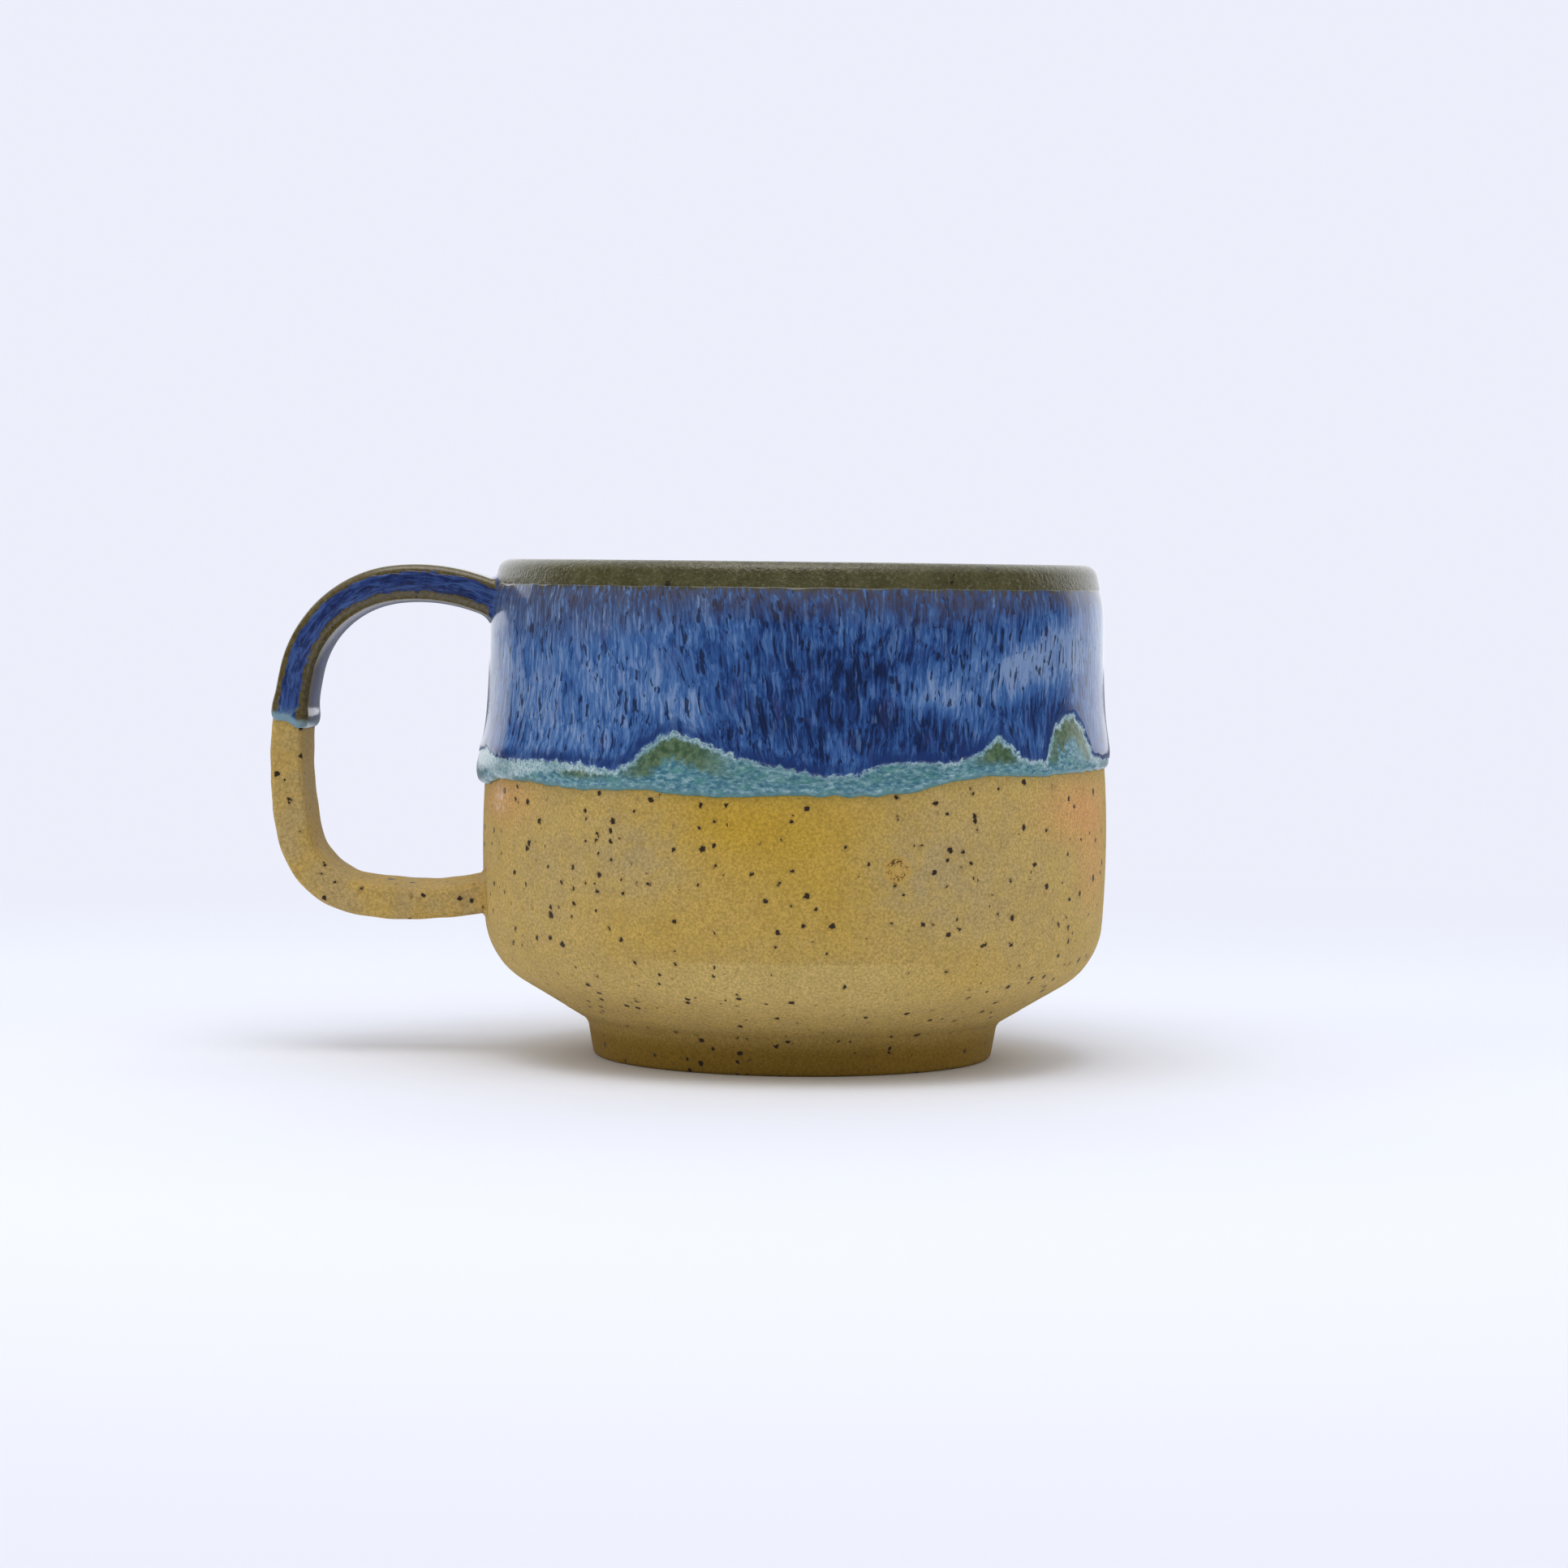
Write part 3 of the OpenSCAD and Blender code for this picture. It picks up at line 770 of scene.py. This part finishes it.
def wall_marks(piece):
    """Stores where each point lies against the glaze's edges, and how the glaze ran there."""
    r, degrees, z = polar_points(piece)
    mark(piece, "border", past_edge(border_curve, degrees, z, r))
    mark(piece, "edge", past_edge(line_curve, degrees, z, r))
    above = np.clip(z - on_ring(flow_curve, degrees), 0, None)
    bend = slope_on_ring(flow_curve, degrees) * 5 * np.exp(-above / 4)
    drift = 2.2 * np.sin(np.radians(degrees * 3 + 50)) * (z - 60) / 20
    mark(piece, "flow", from_polar(r, degrees + bend + drift, z))
    milk = np.full(len(z), 0.25)
    for a, height, across, tall, share in (
            (228, 62, 22, 18, 0.32), (212, 58, 14, 20, 0.3), (250, 58, 10, 8, 0.3),
            (297, 59, 9, 3, 0.7), (312, 62.5, 9, 3.2, 0.9), (327, 66, 10, 3.6, 0.9),
            (345, 68, 12, 6, 0.6), (322, 57, 10, 4, -0.25), (264, 56, 12, 6, -0.25),
            (288, 56, 16, 10, -0.3), (276, 66, 14, 8, -0.1), (20, 62, 20, 14, 0.5),
            (70, 66, 18, 12, 0.4), (120, 58, 20, 14, 0.5), (150, 66, 14, 12, 0.3)):
        milk = milk + share * np.exp(-(around(degrees, a) / across) ** 2 - ((z - height) / tall) ** 2)
    mark(piece, "milk", np.clip(milk, 0, 1))
    reach = 5.0 + 5.0 * np.exp(-(around(degrees, 230) / 30) ** 2) + 1.5 * np.sin(np.radians(degrees * 4))
    green = np.full(len(z), 0.12)
    for a, across in ((248, 10), (308, 5), (329, 9), (100, 12), (38, 12), (230, 6)):
        green = np.maximum(green, np.exp(-(around(degrees, a) / across) ** 4))
    mark(piece, "green", green)
    froth = [(0, 1.3), (90, 1.0), (180, 2.2), (205, 2.9), (222, 1.5), (238, 0.6), (252, 0.45), (258, 0.5),
             (266, 0.2), (288, 0.2), (298, 0.5), (312, 0.5), (322, 0.7), (335, 0.8), (345, 1.6)]
    mark(piece, "froth", np.interp(degrees, *np.array(froth).T, period=360))
    mark(piece, "rim", on_ring(band_curve, degrees) - z)
    mark(piece, "brown", np.clip(1 - (BAND_Z - z) / reach, 0, 1) ** 0.8)


def roll_share(degrees):
    return 0.35 + 0.65 * np.exp(-(around(degrees, 188) / 24) ** 2)


def base_surface(degrees, z):
    """How far the base coat stands out from the clay, away from its edge."""
    above = z - on_ring(line_curve, degrees) - 2.2
    roll = 1.05 * roll_share(degrees) * np.exp(-(above / np.where(above > 0, 4.2, 2.4)) ** 2)
    return 0.35 + roll


def shape_coat(piece, rows, edge_curve, top_curve, thickness_at, inner_at, spread, foot_round):
    """Moves a band's template onto the wall, between two wavy edges."""
    r, degrees, row = polar_points(piece)
    level = np.clip(row / (rows - 1), 0, 1)
    low, high = on_ring(edge_curve, degrees), on_ring(top_curve, degrees)
    z = low + (high - low) * level ** spread
    inner = wall_r(z) + inner_at(degrees, z)
    full = rounded(z - low, foot_round)
    outer = inner + THINNEST + (thickness_at(degrees, z) - THINNEST) * full
    set_points(piece, from_polar(np.where(r > (OUTER_R + INNER_R) / 2, outer, inner), degrees, z))
    wall_marks(piece)


def base_coat(material):
    rows = 64
    piece = coat_template("base_coat", rows, 8)
    shape_coat(piece, rows, line_curve, band_curve, base_surface, lambda a, z: 0 * z, 1.7, 0.8)
    return finish_piece(piece, "base_glaze", material, 80)


def blue_coat(material):
    rows = 76
    piece = coat_template("blue_coat", rows, 28)

    def thickness(degrees, z):
        """Thins out under the lip, to lie flush with the lip's coat."""
        return 0.04 + 0.21 * np.clip((on_ring(band_curve, degrees) - z) / 2.5, 0, 1)

    shape_coat(piece, rows, border_curve, band_curve, thickness, base_surface, 1.15, 1.2)
    return finish_piece(piece, "blue_glaze", material, 80)


def proud(state, t):
    a = math.radians(state[2])
    return state[0] + t * math.sin(a), state[1] - t * math.cos(a)


def coat_outline(states, outer):
    """Closed outline of a coat: its outer line, then the clay's own line taken back."""
    return outer + [(s[0], s[1]) for s in reversed(states)]


def lip_coat(material):
    """The coat over the lip. Its lower end passes behind the blue coat's thin upper edge."""
    lean_start = end_of(foot_end, wall_moves[:-1])
    below = [after(lean_start, lip_lean, part) for part in (0.82, 0.86, 0.9, 0.94, 0.97)]
    states = below + walk(wall_end, lip_moves, 0.35)
    behind = [min(max((BAND_Z - 0.5 - s[1]) / 0.6, 0), 1) * (s[0] > 46) for s in states]
    outer = [proud(s, LINER_T - 0.12 * share) for s, share in zip(states, behind)]
    piece = spun("lip_coat", coat_outline(states, outer), closed=True, steps=512)
    return finish_piece(piece, "lip_glaze", material, 80)


def liner(material):
    states = walk(lip_end, inside_moves, 1.2)
    outline = coat_outline(states, [proud(s, LINER_T) for s in states])
    piece = spun("inner_coat", [(max(r, 0), z) for r, z in outline], closed=True, steps=384)
    return finish_piece(piece, "liner_glaze", material, 60)


# ---- handle
# The centre line is the CAD part's. The section is rounder: pulled clay is thicker along its middle than
# at its edges. DIPPED_MOVES is the part of the line that went into the glaze, STUB the length drawn on into
# the wall and SEARCH how far along the line the wall's surface is looked for.
ARM_START = (-49, 73.1, 158)
HANDLE_MOVES = [(30, 29), (18, 71), (65, 23), (13, 70), (53, 21)]
DIPPED_MOVES = [(30, 29), (18, 71), (65, 7)]
STRAP_W, STRAP_T, STUB, COAT_T = 18, 5.2, 4, 0.3
SEARCH = STUB + 7
EDGE_HALF = STRAP_T / 2


def path_length(moves):
    return sum(size if turn == 0 else size * math.radians(abs(turn)) for size, turn in moves)


def path_table(moves):
    """Arc length, and x, z and heading, along the centre line drawn on into the wall at both ends."""
    start = after(ARM_START, (-STUB, 0))
    states = np.array(walk(start, [(STUB, 0)] + moves + [(STUB, 0)], 0.25))
    gaps = np.hypot(np.diff(states[:, 0]), np.diff(states[:, 1]))
    return np.concatenate([[0], np.cumsum(gaps)]), states


path_s, path_states = path_table(HANDLE_MOVES)
WHOLE = path_s[-1]
DIPPED = STUB + path_length(DIPPED_MOVES)


def strap_t(s):
    """Thickness of the strap's edge faces along its length."""
    return np.interp(s / WHOLE, [0, 0.2, 0.32, 0.42, 0.52, 0.62, 0.78, 0.9, 1],
                     [4.8, 4.7, 4.4, 4.5, 5.1, 5.2, 5.0, 4.7, 4.7])


def inner_crown(s):
    """How far the middle of the strap's inner face swells."""
    return np.interp(s / WHOLE, [0, 0.35, 0.6, 0.8, 1], [0.5, 0.6, 0.7, 1.3, 1.1])


def section(edge):
    """Rounded rectangle, as rows of (across, along Y, normal's angle)."""
    w, t = STRAP_W / 2 - edge, EDGE_HALF - edge
    moves = [(2 * w, 0), (edge, 90), (2 * t, 0), (edge, 90)] * 2
    return np.array(walk((t + edge, -w, 90), moves, 0.45)[:-1])


def beside_line(s, across, y):
    """Points across and y mm off the centre line at arc lengths s."""
    x, z, heading = (np.interp(s, path_s, path_states[:, k]) for k in range(3))
    heading = np.radians(heading)
    return np.stack([x + across * np.sin(heading), y, z - across * np.cos(heading)], axis=1)


def swept(s, rows, extra):
    """Points of the strap's skin at arc lengths s for section rows, extra mm proud."""
    across, y, turn = rows[:, 0] * strap_t(s) / STRAP_T, rows[:, 1], np.radians(rows[:, 2])
    broad = np.clip(1 - (2 * y / STRAP_W) ** 2, 0, 1) * np.clip(np.abs(across) / 2.2, 0, 1) ** 4
    across = across + np.where(across < 0, -inner_crown(s), 0.2) * broad + extra * np.sin(turn)
    return beside_line(s, across, y - extra * np.cos(turn))


def meets_wall(rows, inside, outside, t, extra):
    """Arc length at which each row's line passes through the surface t proud of the cup's wall."""
    a, b = np.full(len(rows), float(inside)), np.full(len(rows), float(outside))
    for _ in range(30):
        mid = (a + b) / 2
        points = swept(mid, rows, extra)
        within = np.hypot(points[:, 0], points[:, 1]) < wall_r(points[:, 2]) + t
        a, b = np.where(within, mid, a), np.where(within, b, mid)
    return (a + b) / 2


def fillet(rows, theta, radius, t, upper):
    """Arc lengths and stand-off of a fillet from the wall, at angle 0, to the strap, at 90 degrees."""
    inside, outside = (0, SEARCH) if upper else (WHOLE, WHOLE - SEARCH)
    foot = meets_wall(rows, inside, outside, t, radius)
    away = 1 if upper else -1
    a = np.radians(theta)
    return foot + away * radius * (1 - np.cos(a)), radius * (1 - np.sin(a))


def tube(name, count, stations):
    """Capped tube of count sides: station k of the tube lies at height k mm."""
    piece = spun(name, [(10, k) for k in range(stations)], steps=count)
    set_mode("EDIT")
    bpy.ops.mesh.select_all(action="SELECT")
    bpy.ops.mesh.fill_holes(sides=0)
    set_mode("OBJECT")
    return piece


def tube_indices(piece, count):
    """Each point's section row and station."""
    _, degrees, height = polar_points(piece)
    return np.round(degrees / 360 * count).astype(int) % count, np.round(height).astype(int)


def strap(material):
    rows = section(0.8)
    stations = 200
    piece = tube("pulled_strap", len(rows), stations)
    row, station = tube_indices(piece, len(rows))
    first = meets_wall(rows, 0, SEARCH, 0.05, 0)
    last = meets_wall(rows, WHOLE, WHOLE - SEARCH, 0.05, 0)
    share = station / (stations - 1)
    s = first[row] + (last[row] - first[row]) * share
    uneven = 0.05 * np.sin(s * 0.5 + 1) + 0.03 * np.sin(s * 1.3)
    set_points(piece, swept(s, rows[row], uneven - 0.06))
    return finish_piece(piece, "handle_strap", material, 50)


def lute(node, upper, material):
    """Slip smoothed into a small fillet between the strap and the wall."""
    rows = section(0.8)
    stations = 12
    piece = tube(node + "_slip", len(rows), stations)
    row, station = tube_indices(piece, len(rows))
    theta = 90 * station / (stations - 1)
    radius = 0.9 + 0.4 * np.clip(-rows[row, 0] / EDGE_HALF, 0, 1)
    s, extra = fillet(rows[row], theta, radius, -0.1, upper)
    set_points(piece, swept(s, rows[row], extra - 0.08 * theta / 90))
    return finish_piece(piece, node, material, 80)


def handle_coat(material):
    """The coat round the upper half of the strap, pooled in the joint and beaded at its lower end."""
    rows = section(1.0)
    stations, curved = 170, 16
    piece = tube("handle_coat", len(rows), stations)
    row, station = tube_indices(piece, len(rows))
    inner_face = np.clip(-rows[row, 0] / EDGE_HALF, 0, 1)
    theta = np.clip(90 * station / curved, 0, 90)
    s, flare = fillet(rows[row], theta, 1.0 + 2.4 * inner_face, 0.25, True)
    end = DIPPED + 1.5 * inner_face + 0.3 * np.sin(np.radians(rows[row, 2]) * 2 + 1)
    share = np.clip((station - curved) / (stations - 1 - curved), 0, 1) ** 0.85
    s = s + (end - s) * share
    left = np.clip(end - s, 0, None)
    bead = 0.2 * np.exp(-((left - 1.7) / 1.6) ** 2) * (1 + 0.6 * inner_face)
    thick = (COAT_T + 0.2 * inner_face + bead) * rounded(left, 1.1) - 0.03
    set_points(piece, swept(s, rows[row], thick + flare))
    on_side = np.abs(rows[row, 1]) > STRAP_W / 2 - 0.3
    reach = np.where(on_side, EDGE_HALF - np.abs(rows[row, 0]), 0.4 * (STRAP_W / 2 - np.abs(rows[row, 1])))
    mark(piece, "inset", np.where(flare > 0.2, 1.5, reach))
    mark(piece, "across", rows[row, 0])
    mark(piece, "along", s)
    mark(piece, "drop", left)
    return finish_piece(piece, "handle_base_glaze", material, 80)


def blue_run(node, side, material):
    """Glaze pooled along one edge face of the strap, ending in a rounded drop."""
    count, stations = 24, 170
    piece = tube(node + "_pool", count, stations)
    row, station = tube_indices(piece, count)
    turn = np.radians(row * 360 / count)
    share = (station / (stations - 1)) ** 0.85
    start, end = STUB + 1.5, DIPPED - 0.1
    s = start + (end - start) * share
    left = end - s
    drop = np.exp(-((left - 2.0) / 1.7) ** 2)
    close = rounded(left, 1.7)
    half = (1.6 + 0.12 * np.sin(s * 0.9) + 0.1 * np.sin(s * 2.3 + 1) + 0.25 * drop) * close
    tall = (0.2 + 0.28 * drop) * (0.25 + 0.75 * close) * np.clip((s - start) / 3, 0, 1)
    across = half * np.cos(turn) - 0.1
    high = np.where(np.sin(turn) > 0, tall * np.sin(turn), 0.15 * np.sin(turn))
    set_points(piece, beside_line(s, across, side * (STRAP_W / 2 + COAT_T - 0.06 + high)))
    mark(piece, "inset", EDGE_HALF - np.abs(across))
    mark(piece, "across", across)
    mark(piece, "along", s)
    from_side = 0.6 + half - np.abs(across) + 6 * np.clip((left - 2) / 2, 0, 1)
    mark(piece, "drop", np.minimum(left, from_side) + 0.4)
    return finish_piece(piece, node, material, 80)


# ---- stage, light and camera, in metres
# The floor passes into the backdrop between these distances from the mug
FADE_START, FADE_END = 0.16, 0.42
LIGHTS_AIM = Vector((0, 0, 0.04))


def stage():
    """Pale floor that passes into the backdrop's colour far from the mug."""
    start_new()
    bpy.ops.mesh.primitive_plane_add(size=6, location=(0, 0, cad_box[0][2]))
    floor = bpy.context.object
    floor.name = "floor"
    material, tree, shader = new_material("floor")
    shader.inputs["Roughness"].default_value = 0.9
    shader.inputs["Specular IOR Level"].default_value = 0.1
    shader.inputs["Base Color"].default_value = (0.84, 0.87, 0.96, 1)
    at = put(tree, "ShaderNodeTexCoord").outputs["Object"]
    far = vector_calc(tree, "LENGTH", at)["Value"]
    camera_ray = put(tree, "ShaderNodeLightPath").outputs["Is Camera Ray"]
    strength = calc(tree, "MULTIPLY_ADD", camera_ray, 0.75, 0.25)
    backdrop = put(tree, "ShaderNodeEmission", {"Color": BACKDROP, "Strength": strength})
    faded = rise(tree, far, FADE_START, FADE_END)
    both = put(tree, "ShaderNodeMixShader", {0: faded, 1: shader.outputs[0], 2: backdrop.outputs[0]})
    tree.links.new(both.outputs[0], tree.nodes["Material Output"].inputs["Surface"])
    floor.data.materials.append(material)


def world():
    """Bright panel behind the mug and a bright ceiling. The camera itself sees the plain backdrop."""
    made = bpy.data.worlds.new("studio")
    bpy.context.scene.world = made
    made.use_nodes = True
    tree = made.node_tree
    tree.nodes.clear()
    way = put(tree, "ShaderNodeTexCoord").outputs["Generated"]
    parts = put(tree, "ShaderNodeSeparateXYZ", {"Vector": way}).outputs
    behind = calc(tree, "ARCTAN2", parts["X"], parts["Y"])
    left = rise(tree, behind, -1.02, -0.98)
    right = rise(tree, behind, 1.2, 0.8)
    panel = times(tree, times(tree, left, right), rise(tree, parts["Z"], 0.85, 0.55))
    top = rise(tree, parts["Z"], 0.35, 0.9, 0.12, 0.9)
    strength = calc(tree, "MAXIMUM", rise(tree, panel, 0.0, 1.0, 0.12, 1.25), top)
    lit = put(tree, "ShaderNodeBackground", {"Color": (0.93, 0.95, 1, 1), "Strength": strength})
    seen = put(tree, "ShaderNodeBackground", {"Color": BACKDROP, "Strength": 1.0})
    camera_ray = put(tree, "ShaderNodeLightPath").outputs["Is Camera Ray"]
    both = put(tree, "ShaderNodeMixShader", {0: camera_ray, 1: lit.outputs[0], 2: seen.outputs[0]})
    put(tree, "ShaderNodeOutputWorld", {"Surface": both.outputs[0]})


def soft_light(name, place, size, power, glossy):
    start_new()
    bpy.ops.object.light_add(type="AREA", location=place)
    light = bpy.context.object
    light.name = name
    light.rotation_euler = (LIGHTS_AIM - Vector(place)).to_track_quat("-Z", "Y").to_euler()
    light.data.size = size
    light.data.energy = power
    light.visible_glossy = glossy
    light.data.color = (1, 0.97, 0.93)


# The lens in mm, and the camera's turn in degrees
CAMERA_AT, LENS = (0, -0.68, 0.0774), 97.4
PITCH, YAW, ROLL = 2.86, -0.15, 0.67


def camera():
    """Camera a little above the mug's middle, looking slightly down."""
    start_new()
    bpy.ops.object.camera_add(location=CAMERA_AT)
    made = bpy.context.object
    made.data.lens = LENS
    made.data.clip_start = 0.01
    pitch, yaw, roll = (math.radians(a) for a in (PITCH, YAW, ROLL))
    turn = Euler((math.pi / 2 - pitch, 0, -yaw), "XYZ").to_matrix()
    made.rotation_euler = (turn @ Euler((0, 0, roll), "XYZ").to_matrix()).to_euler()
    bpy.context.scene.camera = made


camera()
stage()
world()
soft_light("overhead", (-0.05, -0.2, 0.9), 0.6, 3.1, True)
soft_light("front", (0, -1.1, 0.5), 0.8, 0.5, False)
soft_light("left", (-0.9, -0.25, 0.35), 0.6, 1.8, False)
soft_light("right", (0.9, -0.25, 0.35), 0.6, 1.6, False)
bpy.context.scene.view_settings.view_transform = "Standard"

specks = specks_group()
clay = clay_group(specks)
streaks = streaks_group()
olive_glaze = olive_group()
wall = wall_glaze_group(streaks, olive_glaze)
handle_stone = handle_clay_material(clay, "handle_stoneware", (0.56, 0.38, 0.105))
joint_slip = handle_clay_material(clay, "joint_slip", (0.5, 0.33, 0.08))
handle_glaze = handle_glaze_material("handle_glaze", streaks, specks)
cup_clay(cup_clay_material(clay))
base_coat(wall_glaze_material("base_glaze", wall))
blue_coat(wall_glaze_material("blue_glaze", wall))
lip_coat(lip_material(olive_glaze, specks))
liner(liner_material(streaks))
strap(handle_stone)
lute("upper_lute", True, joint_slip)
lute("lower_lute", False, joint_slip)
handle_coat(handle_glaze)
blue_run("front_blue_run", -1, handle_glaze)
blue_run("back_blue_run", 1, handle_glaze)
